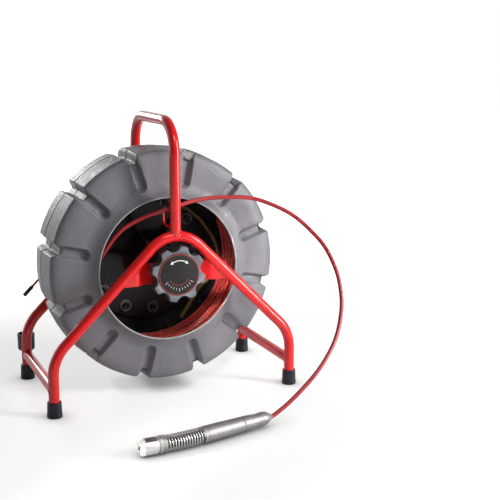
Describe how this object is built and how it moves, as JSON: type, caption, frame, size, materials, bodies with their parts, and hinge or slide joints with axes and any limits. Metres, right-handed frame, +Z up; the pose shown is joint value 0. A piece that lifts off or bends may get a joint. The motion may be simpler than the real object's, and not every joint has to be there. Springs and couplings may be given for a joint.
{
  "type": "push-cable drain inspection reel",
  "caption": "Push-cable reel for drains: a ribbed drum turns on an axle in a bent-tube stand with a carrying handle, lock knob and cable guide; the cable ends in a sprung camera head.",
  "frame": {"origin": "on the floor, under the middle of the reel's box with the cable and camera head left out", "axes": "+Z up, -Y towards the front where the lock knob is, +X to the right seen from the front"},
  "size_m": [0.7053, 0.6812, 0.6857],
  "materials": {
    "red_paint": "gloss red enamel over steel tube and plate",
    "foot_rubber": "matte near-black moulded rubber",
    "black_vinyl": "satin black vinyl",
    "black_plastic": "satin black moulded plastic",
    "drum_shell": "grey rotomoulded plastic with a fine pebbled grain",
    "plain_steel": "turned steel",
    "black_steel": "black oxide",
    "brass": "turned brass",
    "knob_plastic": "satin blue-grey moulded plastic",
    "knob_label": "black printed disc with a plain red ring",
    "cable_jacket": "smooth red plastic jacket",
    "lead_jacket": "olive plastic jacket",
    "polished_steel": "polished stainless steel",
    "head_white": "white moulded plastic",
    "lens_glass": "dark clear glass"
  },
  "bodies": {
    "frame": {"front_frame_tube": "red_paint", "rear_frame_tube": "red_paint", "handle_tube": "red_paint", "left_side_rail": "red_paint", "right_side_rail": "red_paint", "front_hub_plate": "red_paint", "rear_hub_plate": "red_paint", "cable_guide_hoop": "red_paint", "left_cord_hook": "red_paint", "right_cord_hook": "red_paint", "front_left_foot": "foot_rubber", "front_right_foot": "foot_rubber", "rear_left_foot": "foot_rubber", "rear_right_foot": "foot_rubber", "left_hook_cap": "black_vinyl", "right_hook_cap": "black_vinyl", "guide_sleeve": "black_vinyl", "cord_gland": "black_vinyl", "head_flex_core": "black_vinyl", "plug_holster": "black_plastic", "drag_washer": "black_plastic", "slip_ring_housing": "black_plastic", "axle_shaft": "plain_steel", "front_spacer": "plain_steel", "rear_axle_nut": "plain_steel", "knob_washer": "plain_steel", "push_cable_free": "cable_jacket", "tail_ferrule": "polished_steel", "spring_sleeve": "polished_steel", "head_spring": "polished_steel"},
    "drum": {"drum_front_half": "drum_shell", "drum_rear_half": "drum_shell", "drum_hub": "black_plastic", "front_bearing": "plain_steel", "rear_bearing": "plain_steel", "slip_ring_rotor": "brass", "hub_bolt_01": "black_steel", "hub_bolt_02": "black_steel", "hub_bolt_03": "black_steel", "hub_bolt_04": "black_steel", "hub_bolt_05": "black_steel", "hub_bolt_06": "black_steel", "hub_bolt_07": "black_steel", "hub_bolt_08": "black_steel", "hub_bolt_09": "black_steel", "hub_bolt_10": "black_steel", "hub_bolt_11": "black_steel", "hub_bolt_12": "black_steel", "push_cable_winding": "cable_jacket", "push_cable_core": "cable_jacket", "inner_lead": "lead_jacket"},
    "knob": {"lock_knob": "knob_plastic", "knob_insert": "brass", "knob_label": "knob_label"},
    "camera_head": {"head_collar": "polished_steel", "camera_body": "polished_steel", "face_bezel": "head_white", "lens_window": "lens_glass", "light_ring": "head_white"}
  },
  "joints": [
    {"name": "drum_spin", "type": "hinge", "parent": "frame", "child": "drum", "pos_m": [0, -0.01668, 0.3166], "axis": [0, 1, 0], "continuous": true},
    {"name": "knob_turn", "type": "hinge", "parent": "frame", "child": "knob", "pos_m": [0, -0.01668, 0.3166], "axis": [0, 1, 0], "range_deg": [0, 270]},
    {"name": "camera_flex", "type": "hinge", "parent": "frame", "child": "camera_head", "pos_m": [-0.09051, -0.46312, 0.0203], "axis": [0, 0, 1], "range_deg": [-25, 25], "stiffness_Nm_per_rad": 2, "deforming": ["head_spring", "head_flex_core"]}
  ]
}
